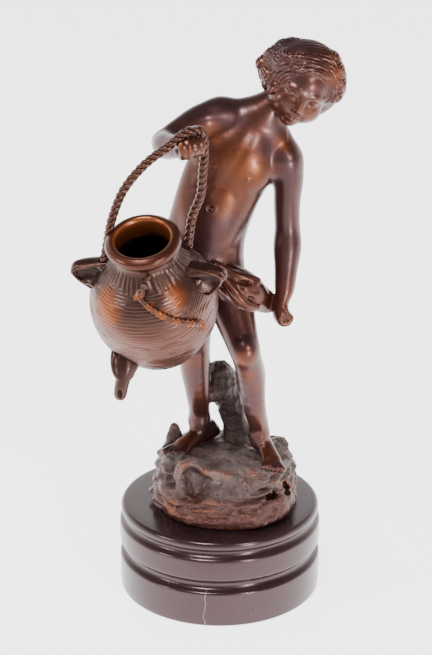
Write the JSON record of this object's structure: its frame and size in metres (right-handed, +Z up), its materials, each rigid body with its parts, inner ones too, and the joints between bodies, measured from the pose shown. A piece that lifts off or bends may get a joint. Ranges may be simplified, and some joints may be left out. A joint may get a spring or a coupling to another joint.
{
  "type": "water carrier statuette",
  "caption": "Cast bronze child in a loincloth on a rough rock, hanging a banded water jug from one fist by its rope bail, on a turned black marble plinth.",
  "frame": {"origin": "centre of the plinth's flat underside", "axes": "+Z up out of the plinth, -Y the way the figure faces, +X towards its hanging arm"},
  "size_m": [0.1511, 0.1399, 0.3315],
  "materials": {
    "marble": null,
    "bronze": "bronze under a dark red-brown patina, waxed, rubbed to orange brown on its high places",
    "worn_bronze": "bronze under a paler satin brown patina, with one orange-brown patch on the shoulder",
    "rope_bronze": "bronze under a near-black brown patina, its strands rubbed bright along their tops"
  },
  "bodies": {
    "root": {"marble_plinth": "marble", "carrier_on_rock": "bronze", "water_jug": "worn_bronze", "rope_bail": "rope_bronze"}
  },
  "joints": []
}
